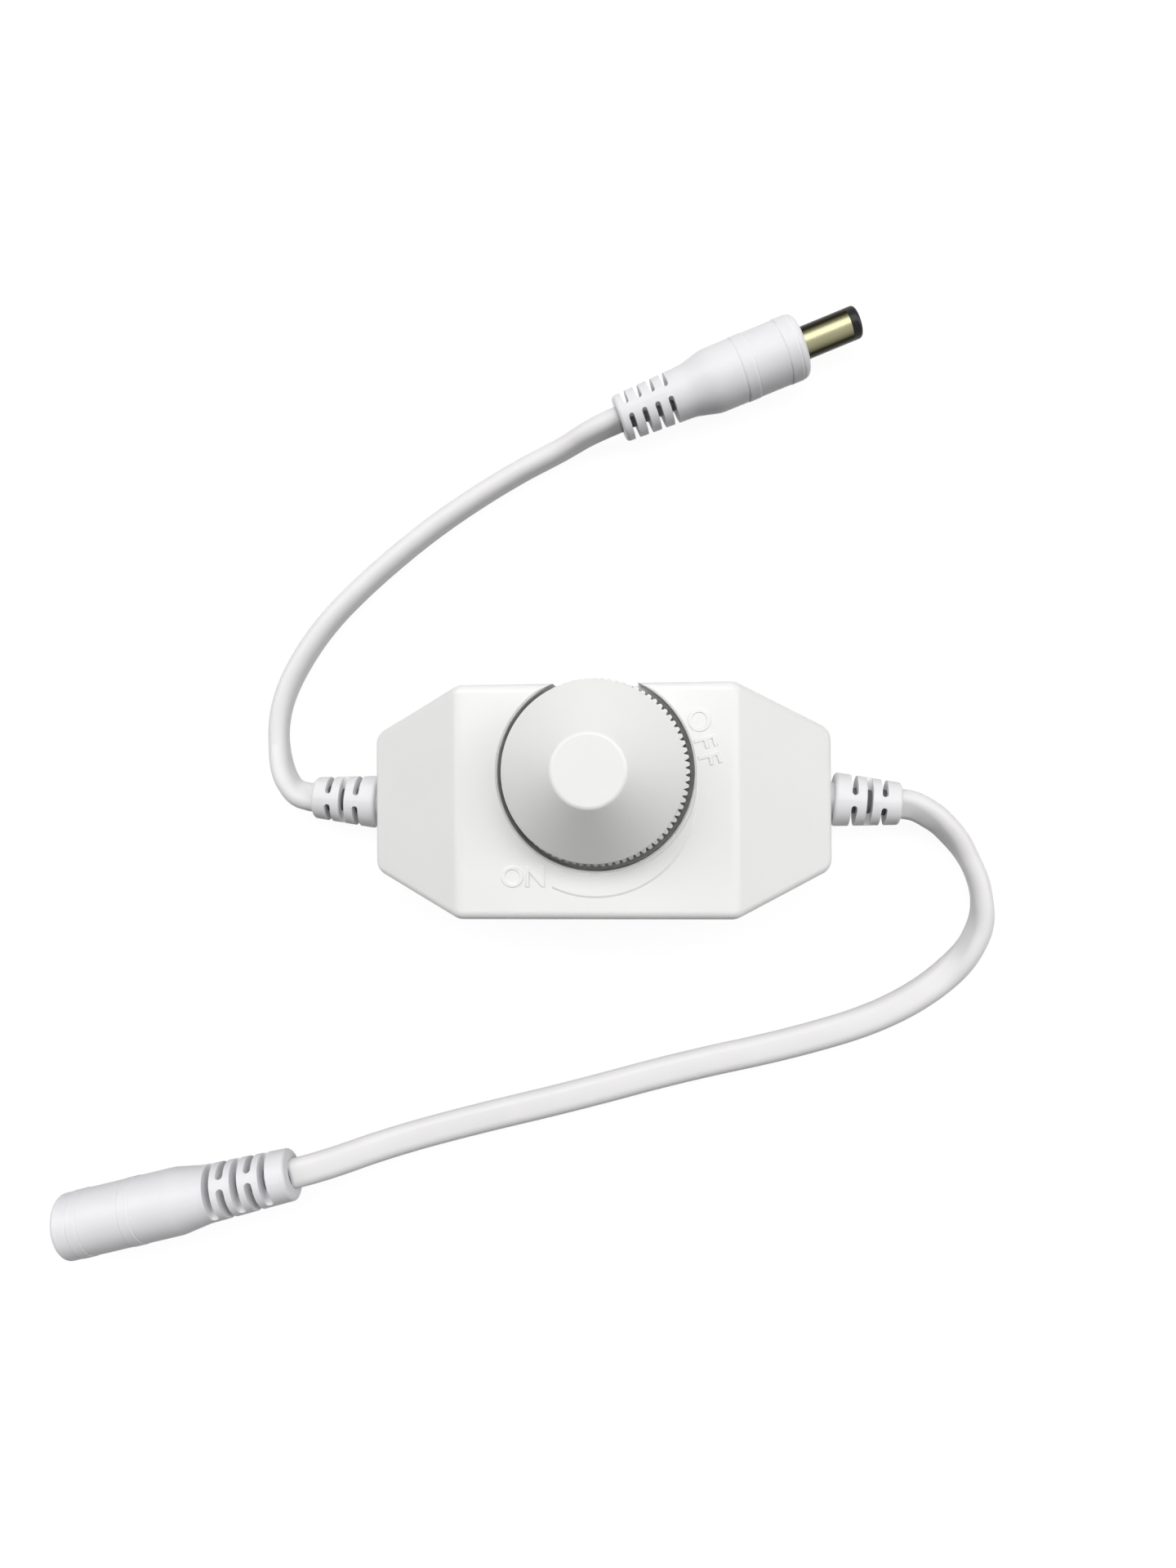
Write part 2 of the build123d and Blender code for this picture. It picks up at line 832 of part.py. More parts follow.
def make_socket_body():
    head = socket_length - socket_head_length
    neck = socket_length - socket_neck_end
    radius = socket_radius - band_height
    points = [(0, 0), (socket_length, 0)] + banded_head(socket_length, radius, socket_round, socket_bands)
    points += [(head, radius), (neck, socket_neck_radius), (0, socket_tip_radius)]
    rounded = [
        (socket_length, radius, socket_round), (head, radius, blend_radius),
        (neck, socket_neck_radius, blend_radius), (0, socket_tip_radius, relief_round),
    ]
    body = turned(points, rounded) - x_rod(jacket_radius, 0, jacket_in_socket)
    for row in range(socket_slot_rows):
        roll = socket_slot_roll + 90 * ((row + 1) % 2)
        x = socket_length - socket_slot_first - row * socket_slot_pitch
        body = body - slot_row(x, socket_slot_width, socket_slot_bridge, roll)
    return body - x_rod(socket_liner_radius, socket_length - socket_liner_length, socket_length)


outside = case_outside()
save(make_upper_case(outside, case_inside()), "upper_case")
save(make_lower_case(outside), "lower_case")
save(make_case_screws(), "case_screws")
save(make_control_knob(), "control_knob")
save(make_pot_shaft(), "pot_shaft")
save(make_pot_rotor(), "pot_rotor")
save(make_pot_wiper(), "pot_wiper")
save(make_pot_track(), "pot_track")
save(make_pot_housing(), "pot_housing")
save(make_pot_bushing(), "pot_bushing")
save(make_pot_terminals(), "pot_terminals")
save(make_circuit_board(), "circuit_board")
save(make_power_transistor(), "power_transistor")
save(make_transistor_leads(), "transistor_leads")
save(make_control_chip(), "control_chip")
save(make_chip_leads(), "chip_leads")
save(make_capacitor_can(), "capacitor_can")
save(make_capacitor_leads(), "capacitor_leads")
save(make_diode_body(), "diode_body")
save(make_diode_leads(), "diode_leads")
save(chip_set(resistor_places, resistor_size), "chip_resistors")
save(chip_set(ceramic_places, ceramic_size), "chip_capacitors")
save(make_relief(-1, plug_relief_lean), "plug_side_relief")
save(make_relief(1, socket_relief_lean), "socket_side_relief")
save(make_lead(plug_lead_route, -1, plug_relief_lean, jacket_in_plug), "plug_lead")
save(make_lead(socket_lead_route, 1, socket_relief_lean, jacket_in_socket), "socket_lead")
save(core(-1, core_radius), "plug_positive_core")
save(core(-1, -core_radius), "plug_negative_core")
save(core(1, core_radius), "socket_positive_core")
save(core(1, -core_radius), "socket_negative_core")
save(in_plug(make_plug_body()), "plug_body")
save(in_plug(plug_barrel_shape()), "plug_barrel")
save(in_plug(plug_insulator_shape()), "plug_insulator")
save(in_plug(plug_contact_shape()), "plug_centre_contact")
save(in_socket(make_socket_body()), "socket_body")
save(in_socket(socket_liner_shape()), "socket_insulator")
save(in_socket(socket_pin_shape()), "socket_pin")
save(in_socket(spring_shape()), "socket_spring")
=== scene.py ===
import json
import math

import bpy
from mathutils import Matrix, Vector


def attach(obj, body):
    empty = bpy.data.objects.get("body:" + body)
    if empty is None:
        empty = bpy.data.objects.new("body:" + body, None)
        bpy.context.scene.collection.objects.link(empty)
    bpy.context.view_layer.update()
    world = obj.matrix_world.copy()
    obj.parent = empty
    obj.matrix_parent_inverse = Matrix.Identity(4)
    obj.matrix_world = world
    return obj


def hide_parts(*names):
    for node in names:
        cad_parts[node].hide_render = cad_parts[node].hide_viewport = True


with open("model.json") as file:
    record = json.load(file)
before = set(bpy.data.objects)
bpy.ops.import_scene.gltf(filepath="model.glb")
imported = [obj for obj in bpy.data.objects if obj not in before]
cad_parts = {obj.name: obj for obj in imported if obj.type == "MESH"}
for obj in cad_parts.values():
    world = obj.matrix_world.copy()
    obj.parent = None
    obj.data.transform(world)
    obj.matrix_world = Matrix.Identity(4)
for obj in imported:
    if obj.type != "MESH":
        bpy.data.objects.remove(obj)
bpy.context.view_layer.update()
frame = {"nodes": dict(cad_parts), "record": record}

# Inline rotary dimmer. Sizes in metres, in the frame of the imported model.
MM = 0.001
UP = Vector((0.0, 0.0, 1.0))
WHITE = (1.0, 1.0, 1.0, 1.0)

# case, knob recess and strain reliefs, as modelled
CASE_TOP = 21.5 * MM
KNOB_CENTRE = Vector((0.0, 4.5, 0.0)) * MM
RECESS_RADIUS = 15.4 * MM
RECESS_EDGE = 0.3 * MM
JACKET_START = 30.9 * MM
RELIEF_FACE = 38.2 * MM
RELIEF_LENGTH = 11.0 * MM
RELIEF_LEAN = math.radians(4.4)
LEAD_HEIGHT = 5.0 * MM

# leads: a flat cable outside the mouldings, a round end inside them
CABLE_WIDTH = 5.1 * MM
CABLE_THICKNESS = 3.3 * MM
CABLE_CLEARANCE = 0.05 * MM
SETTLE_REACH = 16.0 * MM
SETTLE_DEPTH = 1.0 * MM
JACKET_RADIUS = 2.1 * MM
LINE_STEPS = 16

# plug and socket: the cable's end at each, its heading, and distances inward from that end
PLUG_END = Vector((3.3, 64.1, 5.5)) * MM
PLUG_HEADING = math.radians(20.8)
PLUG_JACKET = 13.9 * MM
PLUG_RINGS = [21.4 * MM, 23.4 * MM, 29.0 * MM, 31.0 * MM]
SOCKET_END = Vector((-53.4, -63.4, 5.8)) * MM
SOCKET_HEADING = math.radians(194.0)
SOCKET_JACKET = 14.9 * MM
SOCKET_RINGS = [27.2 * MM, 29.2 * MM, 36.6 * MM, 38.6 * MM]
RING_HALF_WIDTH = 0.22 * MM

# roll of the flat cable about its own line, in degrees from lying flat, along the lead from 0 to 1
PLUG_ROLL = [
    (0.0, 20.0), (0.02, 40.0), (0.06, 76.0), (0.15, 98.0), (0.3, 87.0), (0.9, 86.0), (1.0, 70.0),
]
SOCKET_ROLL = [
    (0.0, 22.0), (0.03, 40.0), (0.06, 60.0), (0.11, 93.0), (0.14, 93.0), (0.19, 62.0),
    (0.25, 15.0), (0.4, 2.0), (1.0, 2.0),
]

# raised lettering: piece, text, size, spacing, place on the case top, turn in degrees
LETTERING = [
    ("letters_on", "ON", 4.5 * MM, 1.0, (-11.27 * MM, -11.85 * MM), 0.0),
    ("letters_off", "OFF", 4.7 * MM, 1.2, (16.65 * MM, 9.75 * MM), -75.0),
]
LETTER_HEIGHT = 0.16 * MM
LETTER_ROUND = 0.06 * MM

# raised wedge round the knob, between the recess and a circle that lies off its centre
WEDGE_HEIGHT = 0.16 * MM
WEDGE_SLOPE = 0.45 * MM
WEDGE_SINK = 0.05 * MM
WEDGE_GAP = 0.05 * MM
WEDGE_LEAST_WIDTH = 0.03 * MM
WEDGE_CENTRE = Vector((-0.04, 0.86, 0.0)) * MM
WEDGE_RADIUS = 15.99 * MM
WEDGE_FROM = math.radians(-111.0)
WEDGE_TO = math.radians(-4.0)

# depth of the surface grain, and of the mould lines on the plug and the socket
GRAIN = 0.02 * MM
FINE_GRAIN = 0.01 * MM
SOFT_GRAIN = 0.012 * MM
RING_DEPTH = 0.06 * MM

# studio lights: name, place, size and power
LIGHTS = [
    ("key", (0.06, 0.38, 0.88), (3.4, 0.6), 19.6),
    ("fill_west", (-0.9, 0.2, 0.5), (0.6, 0.6), 2.1),
    ("fill_east", (0.9, 0.2, 0.5), (0.6, 0.6), 2.0),
]
SKY_STRENGTH = 0.03

# floor: white to look at, a little less so near the object, where the lights make up for it
FLOOR_REACH = 3.0
FLOOR_NEAR = 0.15
FLOOR_FAR = 0.8
FLOOR_GLOW_NEAR = 0.94
FLOOR_GLOW_FAR = 1.0

# camera, fitted to the photograph, with its turn in degrees
CAMERA_LENS = 27.752
CAMERA_SENSOR = 36.0
CAMERA_NEAR = 0.01
CAMERA_PLACE = Vector((13.913, 1.105, 208.118)) * MM
CAMERA_TURN = (0.4477, 4.6045, -0.3921)


def lead_start(side, beyond=0.0):
    """Where the cable comes out of a relief at the case, or a point this far beyond that."""
    direction = Vector((side * math.cos(RELIEF_LEAN), -side * math.sin(RELIEF_LEAN), 0.0))
    return Vector((side * RELIEF_FACE, 0.0, LEAD_HEIGHT)) + direction * (RELIEF_LENGTH + beyond)


def in_metres(places):
    return [Vector(place) * MM for place in places]


# routes of the two leads, from the case to the plug and to the socket
PLUG_ROUTE = [lead_start(-1), lead_start(-1, 2.0 * MM)] + in_metres([
    (-53.4, 2.2, 4.8), (-55.1, 4.6, 4.5), (-56.3, 8.3, 3.8), (-56.7, 12.4, 3.2), (-55.9, 17.6, 2.8),
    (-53.1, 23.8, 2.7), (-47.8, 31.3, 2.7), (-39.6, 39.1, 2.7), (-28.6, 47.8, 2.7), (-15.8, 55.7, 2.7),
    (-6.0, 60.4, 3.5), (-1.0, 62.47, 5.5), (3.3, 64.1, 5.5),
])
SOCKET_ROUTE = [lead_start(1), lead_start(1, 1.8 * MM)] + in_metres([
    (53.4, -2.1, 4.8), (56.5, -4.3, 4.4), (60.1, -8.5, 3.7), (62.9, -14.8, 3.1), (62.9, -22.0, 2.8),
    (57.6, -29.5, 2.7), (46.8, -36.4, 2.7), (31.5, -41.2, 2.6), (13.0, -45.3, 2.4), (-5.0, -50.4, 2.3),
    (-24.0, -55.1, 2.3), (-38.0, -59.1, 3.0), (-48.06, -62.07, 5.8), (-53.4, -63.4, 5.8),
])


def link(obj):
    bpy.context.scene.collection.objects.link(obj)
    return obj


def mesh_object(name, verts, faces, material, smooth=True):
    mesh = bpy.data.meshes.new(name)
    mesh.from_pydata([tuple(vert) for vert in verts], [], faces)
    mesh.update()
    if smooth:
        mesh.shade_smooth()
    mesh.materials.append(material)
    return link(bpy.data.objects.new(name, mesh))


def piece(obj):
    """Fixes a piece to the housing."""
    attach(obj, "housing")
    return obj


def node_object(name):
    return frame["nodes"][name]


# Materials

class Shader:
    """A principled material that is built up in layers."""

    def __init__(self, name, color, roughness, **inputs):
        self.material = bpy.data.materials.new(name)
        self.material.use_nodes = True
        self.nodes = self.material.node_tree.nodes
        self.links = self.material.node_tree.links
        self.shader = self.nodes["Principled BSDF"]
        self.shader.inputs["Base Color"].default_value = (*color, 1.0)
        self.shader.inputs["Roughness"].default_value = roughness
        for key, value in inputs.items():
            self.shader.inputs[key.replace("_", " ")].default_value = value
        self.color = color
        self.last_bump = None
        coords = self.nodes.new("ShaderNodeTexCoord")
        self.object_coords = coords.outputs["Object"]

    def noise(self, scale, detail, stretch=None):
        texture = self.nodes.new("ShaderNodeTexNoise")
        texture.inputs["Scale"].default_value = scale
        texture.inputs["Detail"].default_value = detail
        source = self.object_coords
        if stretch:
            mapping = self.nodes.new("ShaderNodeMapping")
            mapping.inputs["Scale"].default_value = stretch
            self.links.new(source, mapping.inputs["Vector"])
            source = mapping.outputs["Vector"]
        self.links.new(source, texture.inputs["Vector"])
        return texture.outputs["Fac"]

    def measure(self, operation, axis=(0.0, 0.0, 0.0)):
        """A number that follows from the place on the object."""
        node = self.nodes.new("ShaderNodeVectorMath")
        node.operation = operation
        node.inputs[1].default_value = axis
        self.links.new(self.object_coords, node.inputs[0])
        return node.outputs["Value"]

    def combine(self, operation, value, other=0.0):
        node = self.nodes.new("ShaderNodeMath")
        node.operation = operation
        self.links.new(value, node.inputs[0])
        if isinstance(other, float):
            node.inputs[1].default_value = other
        else:
            self.links.new(other, node.inputs[1])
        return node.outputs["Value"]

    def remap(self, value, low, high, first, second):
        """Turns the range from low to high into the range from first to second."""
        node = self.nodes.new("ShaderNodeMapRange")
        node.inputs["From Min"].default_value = low
        node.inputs["From Max"].default_value = high
        node.inputs["To Min"].default_value = first
        node.inputs["To Max"].default_value = second
        self.links.new(value, node.inputs["Value"])
        return node.outputs["Result"]

    def ramp(self, value, low, high, first, second):
        ramp = self.nodes.new("ShaderNodeValToRGB")
        ramp.color_ramp.elements[0].position = low
        ramp.color_ramp.elements[1].position = high
        ramp.color_ramp.elements[0].color = (*first, 1.0)
        ramp.color_ramp.elements[1].color = (*second, 1.0)
        self.links.new(value, ramp.inputs["Fac"])
        return ramp.outputs["Color"]

    def facing(self):
        """0 where the surface is seen straight on and 1 where it is seen edge on."""
        weight = self.nodes.new("ShaderNodeLayerWeight")
        return weight.outputs["Facing"]

    def rings(self, start, heading, places):
        """A height that is 1 and drops to 0 on thin rings at these distances from start."""
        axis = Vector((math.cos(heading), math.sin(heading), 0.0))
        along = self.measure("DOT_PRODUCT", axis)
        height = None
        for place in places:
            away = self.combine("SUBTRACT", along, start.dot(axis) + place)
            ring = self.remap(self.combine("ABSOLUTE", away), 0.0, RING_HALF_WIDTH, 0.0, 1.0)
            height = ring if height is None else self.combine("MINIMUM", height, ring)
        return height

    def tint(self, value, amount, low=0.35, high=0.65):
        darker = [channel * (1.0 - amount) for channel in self.color]
        color = self.ramp(value, low, high, darker, self.color)
        self.links.new(color, self.shader.inputs["Base Color"])

    def shade(self, value, low, high, first, second):
        """Multiplies the colour that tint has set by a ramp."""
        mix = self.nodes.new("ShaderNodeMix")
        mix.data_type = "RGBA"
        mix.blend_type = "MULTIPLY"
        mix.inputs["Factor"].default_value = 1.0
        color = self.shader.inputs["Base Color"]
        self.links.new(color.links[0].from_socket, mix.inputs["A"])
        self.links.new(self.ramp(value, low, high, first, second), mix.inputs["B"])
        self.links.new(mix.outputs["Result"], color)

    def gloss(self, value, low_roughness, high_roughness):
        roughness = self.remap(value, 0.0, 1.0, low_roughness, high_roughness)
        self.links.new(roughness, self.shader.inputs["Roughness"])

    def bump(self, value, distance, strength=1.0):
        bump = self.nodes.new("ShaderNodeBump")
        bump.inputs["Strength"].default_value = strength
        bump.inputs["Distance"].default_value = distance
        self.links.new(value, bump.inputs["Height"])
        if self.last_bump:
            self.links.new(self.last_bump.outputs["Normal"], bump.inputs["Normal"])
        self.links.new(bump.outputs["Normal"], self.shader.inputs["Normal"])
        self.last_bump = bump


def moulded_plastic(name, color, roughness, grain, mottling=0.02, specular=0.5):
    """Hard plastic with the fine grain of its mould."""
    shader = Shader(name, color, roughness, Specular_IOR_Level=specular)
    broad = shader.noise(scale=60.0, detail=3.0)
    fine = shader.noise(scale=2600.0, detail=3.0)
    shader.tint(broad, amount=mottling)
    shader.gloss(broad, roughness - 0.06, roughness + 0.06)
    shader.bump(fine, distance=grain, strength=0.35)
    return shader.material


def soft_shader(name, color, roughness):
    """Soft plastic, a little uneven in colour and gloss."""
    shader = Shader(name, color, roughness, Specular_IOR_Level=0.3)
    broad = shader.noise(scale=90.0, detail=4.0)
    fine = shader.noise(scale=3200.0, detail=3.0)
    shader.tint(broad, amount=0.03)
    shader.gloss(broad, roughness - 0.05, roughness + 0.08)
    shader.bump(fine, distance=SOFT_GRAIN, strength=0.3)
    return shader


def soft_plastic(name, color, roughness):
    return soft_shader(name, color, roughness).material


def overmould(name, start, heading, places):
    """Soft plastic with the fine mould lines that edge its raised bands: shallow grooves in the bump,
    left paler than the rest as a painted highlight.
    """
    shader = soft_shader(name, (0.9, 0.893, 0.912), 0.38)
    height = shader.rings(start, heading, places)
    # painted highlight: the plastic is darkened everywhere except on the mould lines, so the lines
    # read as edges that catch the light
    shader.shade(height, 0.0, 0.9, (1.0, 1.0, 1.0), (0.915, 0.915, 0.915))
    shader.bump(height, distance=RING_DEPTH)
    return shader.material


def barrel_plating():
    """Satin gold plating, bright along its middle, with a painted dark reflection that darkens it
    towards both sides.
    """
    shader = Shader("barrel_plating", (0.36, 0.345, 0.215), 0.26, Metallic=1.0)
    shader.tint(shader.noise(scale=200.0, detail=3.0), amount=0.05)
    # painted reflection: the colour darkens where the barrel is seen edge on, in place of dark
    # surroundings mirrored in its sides
    shader.shade(shader.facing(), 0.02, 0.3, (1.0, 1.0, 1.0), (0.05, 0.045, 0.03))
    shader.gloss(shader.noise(scale=300.0, detail=2.0), 0.24, 0.3)
    return shader.material


def plated_metal(name, color, roughness):
    """Bright metal with faint scratches that run one way."""
    shader = Shader(name, color, roughness, Metallic=1.0)
    scratches = shader.noise(scale=900.0, detail=5.0, stretch=(0.05, 1.0, 1.0))
    shader.gloss(scratches, roughness * 0.7, roughness * 1.6)
    shader.tint(shader.noise(scale=200.0, detail=3.0), amount=0.12)
    shader.bump(scratches, distance=FINE_GRAIN, strength=0.3)
    return shader.material


def board_material(name, color):
    """Lacquered board with lighter and darker patches."""
    shader = Shader(name, color, 0.35)
    shader.tint(shader.noise(scale=700.0, detail=6.0), amount=0.35, low=0.48, high=0.52)
    shader.bump(shader.noise(scale=3000.0, detail=2.0), distance=GRAIN, strength=0.4)
    return shader.material


def make_materials():
    """The materials by the slots that the nodes and pieces name."""
    return {
        "case_white": moulded_plastic("case_plastic", (0.87, 0.872, 0.86), 0.36, GRAIN),
        "knob_white": moulded_plastic("knob_plastic", (0.85, 0.85, 0.835), 0.40, GRAIN),
        "relief_white": soft_plastic("relief_soft", (0.83, 0.828, 0.84), 0.42),
        "jacket_white": soft_plastic("jacket_soft", (0.84, 0.828, 0.832), 0.36),
        "barrel_metal": barrel_plating(),
        "contact_metal": plated_metal("contact_plating", (0.72, 0.58, 0.30), 0.25),
        "insulator_black": moulded_plastic(
            "insulator_plastic", (0.006, 0.006, 0.007), 0.28, FINE_GRAIN, mottling=0.2, specular=0.25,
        ),
        "board_green": board_material("board_mask", (0.03, 0.20, 0.07)),
        "component_black": moulded_plastic("component_epoxy", (0.02, 0.02, 0.022), 0.5, GRAIN, 0.3),
        "solder_metal": plated_metal("tinned_metal", (0.70, 0.70, 0.68), 0.30),
        "screw_steel": plated_metal("zinc_plating", (0.55, 0.56, 0.58), 0.32),
        "pot_plastic": moulded_plastic("pot_phenolic", (0.05, 0.035, 0.03), 0.45, GRAIN, 0.3),
        "pot_metal": plated_metal("cast_zinc", (0.62, 0.63, 0.64), 0.42),
        "track_brown": moulded_plastic("track_board", (0.16, 0.07, 0.03), 0.5, GRAIN, 0.3),
        "shaft_metal": plated_metal("turned_aluminium", (0.72, 0.73, 0.75), 0.28),
        "can_black": moulded_plastic("can_sleeve", (0.02, 0.02, 0.05), 0.3, FINE_GRAIN, 0.3),
        "resistor_black": moulded_plastic("resistor_film", (0.03, 0.03, 0.03), 0.35, FINE_GRAIN, 0.3),
        "ceramic_tan": moulded_plastic("ceramic_chip", (0.42, 0.28, 0.16), 0.5, FINE_GRAIN, 0.2),
        "core_red": soft_plastic("core_red_insulation", (0.55, 0.02, 0.02), 0.4),
        "core_black": soft_plastic("core_black_insulation", (0.015, 0.015, 0.015), 0.4),
    }


def dress_nodes(materials):
    """Gives each node the material of its slot, and the two overmouldings one of their own."""
    overmoulds = {
        "plug_body": overmould("plug_overmould", PLUG_END, PLUG_HEADING, PLUG_RINGS),
        "socket_body": overmould("socket_overmould", SOCKET_END, SOCKET_HEADING, SOCKET_RINGS),
    }
    for part in frame["record"]["subparts"]:
        name = part["node"]
        material = overmoulds[name] if name in overmoulds else materials[part["material_slot"]]
        obj = node_object(name)
        if not obj.material_slots:
            obj.data.materials.append(material)
        for slot in obj.material_slots:
            slot.material = material


# Leads

def route_points(name, route):
    """Points along the smooth line that the route controls."""
    curve = bpy.data.curves.new(name, "CURVE")
    curve.dimensions = "3D"
    curve.resolution_u = LINE_STEPS
    spline = curve.splines.new("NURBS")
    spline.points.add(len(route) - 1)
    for point, place in zip(spline.points, route):
        point.co = (*place, 1.0)
    spline.order_u = 3
    spline.use_endpoint_u = True
    guide = link(bpy.data.objects.new(name, curve))
    bpy.context.view_layer.update()
    mesh = bpy.data.meshes.new_from_object(guide)
    points = [vertex.co.copy() for vertex in mesh.vertices]
    bpy.data.meshes.remove(mesh)
    bpy.data.objects.remove(guide)
    bpy.data.curves.remove(curve)
    return points


def lengths_along(points):
    total = [0.0]
    for start, end in zip(points, points[1:]):
        total.append(total[-1] + (end - start).length)
    return total


def smooth_step(share):
    share = min(max(share, 0.0), 1.0)
    return share * share * (3.0 - 2.0 * share)


def roll_at(table, share):
    """The roll in radians at this share of the lead, eased from each entry to the next."""
    for (low, first), (high, second) in zip(table, table[1:]):
        if share <= high:
            return math.radians(first + (second - first) * smooth_step((share - low) / (high - low)))
    return math.radians(table[-1][1])


def half_height(roll):
    """Half of the flat cable's height when it is rolled by this angle."""
    return (CABLE_THICKNESS + (CABLE_WIDTH - CABLE_THICKNESS) * abs(math.sin(roll))) / 2


def settled(points, along, rolls):
    """The cable's line, let down on to the table between its two ends."""
    line = []
    for point, place, roll in zip(points, along, rolls):
        spare = max(point.z - half_height(roll) - CABLE_CLEARANCE, 0.0)
        share = smooth_step(min(place, along[-1] - place) / SETTLE_REACH)
        line.append(point - UP * min(spare, SETTLE_DEPTH) * share)
    return line


def round_section(radius, count=32):
    angles = [2 * math.pi * number / count for number in range(count)]
    return [(radius * math.cos(angle), radius * math.sin(angle)) for angle in angles]


def flat_section(count=36):
    """Two half circles, drawn apart to the cable's width."""
    half_flat = (CABLE_WIDTH - CABLE_THICKNESS) / 2
    section = []
    for x, y in round_section(CABLE_THICKNESS / 2, count):
        section.append((x + math.copysign(half_flat, x), y))
    return section


def make_tube(name, points, section, rolls, material):
    """Carries a section along the points, rolled about the line by the roll at each."""
    verts = []
    for index, (point, roll) in enumerate(zip(points, rolls)):
        ahead = points[min(index + 1, len(points) - 1)]
        behind = points[max(index - 1, 0)]
        tangent = (ahead - behind).normalized()
        across = UP.cross(tangent).normalized()
        upward = tangent.cross(across)
        side = across * math.cos(roll) + upward * math.sin(roll)
        face = upward * math.cos(roll) - across * math.sin(roll)
        verts += [point + side * x + face * y for x, y in section]
    count = len(section)
    last = (len(points) - 1) * count
    faces = [tuple(reversed(range(count))), tuple(range(last, last + count))]
    for ring in range(0, last, count):
        for number in range(count):
            here = ring + number
            beside = ring + (number + 1) % count
            faces.append((here, beside, beside + count, here + count))
    return piece(mesh_object(name, verts, faces, material))


def make_cable(name, route, roll_table, material):
    points = route_points(name + "_line", route)
    along = lengths_along(points)
    rolls = [roll_at(roll_table, place / along[-1]) for place in along]
    line = settled(points, along, rolls)
    return make_tube(name, line, flat_section(), rolls, material), line


def make_round_end(name, points, material):
    return make_tube(name, points, round_section(JACKET_RADIUS), [0.0] * len(points), material)


def end_in_relief(name, side, material):
    """The jacket inside a relief at the case, as its slots show it."""
    root = Vector((side * RELIEF_FACE, 0.0, LEAD_HEIGHT))
    start = Vector((side * JACKET_START, 0.0, LEAD_HEIGHT))
    make_round_end(name, [start, root, lead_start(side)], material)


def end_in_moulding(name, start, heading, length, material):
    """The jacket inside the plug or the socket, as its slots show it."""
    direction = Vector((math.cos(heading), math.sin(heading), 0.0))
    return make_round_end(name, [start, start + direction * length], material)


def make_leads(material):
    # painted shade: the jacket that shows through the slots is given a dark grey in place of its own
    # white, for the shade deep in the slots
    painted_shade_jacket = soft_plastic("jacket_in_slots_painted_shade", (0.22, 0.21, 0.24), 0.5)
    plug_cable, plug_line = make_cable("plug_cable", PLUG_ROUTE, PLUG_ROLL, material)
    socket_cable, socket_line = make_cable("socket_cable", SOCKET_ROUTE, SOCKET_ROLL, material)
    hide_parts("plug_lead")
    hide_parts("socket_lead")
    end_in_relief("plug_cable_in_relief", -1, painted_shade_jacket)
    end_in_relief("socket_cable_in_relief", 1, painted_shade_jacket)
    in_plug = end_in_moulding("cable_in_plug", PLUG_END, PLUG_HEADING, PLUG_JACKET, painted_shade_jacket)
    in_socket = end_in_moulding("cable_in_socket", SOCKET_END, SOCKET_HEADING, SOCKET_JACKET, painted_shade_jacket)


# Raised lettering and the brightness wedge on the case

def make_word(name, text, size, spacing, place, turn, material):
    curve = bpy.data.curves.new(name, "FONT")
    curve.body = text
    curve.size = size
    curve.space_character = spacing
    curve.extrude = LETTER_HEIGHT - LETTER_ROUND
    curve.bevel_depth = LETTER_ROUND
    curve.bevel_resolution = 1
    curve.align_x = "CENTER"
    curve.align_y = "CENTER"
    source = link(bpy.data.objects.new(name + "_curve", curve))
    bpy.context.view_layer.update()
    mesh = bpy.data.meshes.new_from_object(source)
    bpy.data.objects.remove(source)
    bpy.data.curves.remove(curve)
    mesh.transform(Matrix.Translation(place) @ Matrix.Rotation(turn, 4, "Z"))
    mesh.materials.clear()
    mesh.materials.append(material)
    piece(link(bpy.data.objects.new(name, mesh)))


def wedge_reach(direction):
    """How far the wedge's outer circle lies from the knob's centre in this direction."""
    offset = WEDGE_CENTRE - KNOB_CENTRE
    along = offset.dot(direction)
    return along + math.sqrt(WEDGE_RADIUS ** 2 - offset.length_squared + along ** 2)


def wedge_profile(width):
    """The corners across the wedge, as reach from the recess and rise over the case top."""
    slope = min(WEDGE_SLOPE, width / 3)
    return [
        (0.0, -WEDGE_SINK),
        (slope, WEDGE_HEIGHT),
        (width - slope, WEDGE_HEIGHT),
        (width, -WEDGE_SINK),
    ]


def make_wedge(material, steps=72):
    inner = RECESS_RADIUS + RECESS_EDGE + WEDGE_GAP
    verts = []
    for step in range(steps + 1):
        angle = WEDGE_FROM + (WEDGE_TO - WEDGE_FROM) * step / steps
        direction = Vector((math.cos(angle), math.sin(angle), 0.0))
        profile = wedge_profile(max(wedge_reach(direction) - inner, WEDGE_LEAST_WIDTH))
        for reach, rise in profile:
            verts.append(KNOB_CENTRE + direction * (inner + reach) + UP * (CASE_TOP + rise))
    count = len(profile)
    last = steps * count
    faces = []
    for section in range(0, last, count):
        for here in range(section, section + count - 1):
            faces.append((here, here + count, here + count + 1, here + 1))
    faces.append(tuple(range(count)))
    faces.append(tuple(reversed(range(last, last + count))))
    piece(mesh_object("brightness_wedge", verts, faces, material, smooth=False))


def make_marks(material):
    for name, text, size, spacing, place, turn in LETTERING:
        make_word(name, text, size, spacing, Vector((*place, CASE_TOP)), math.radians(turn), material)
    make_wedge(material)


# Studio

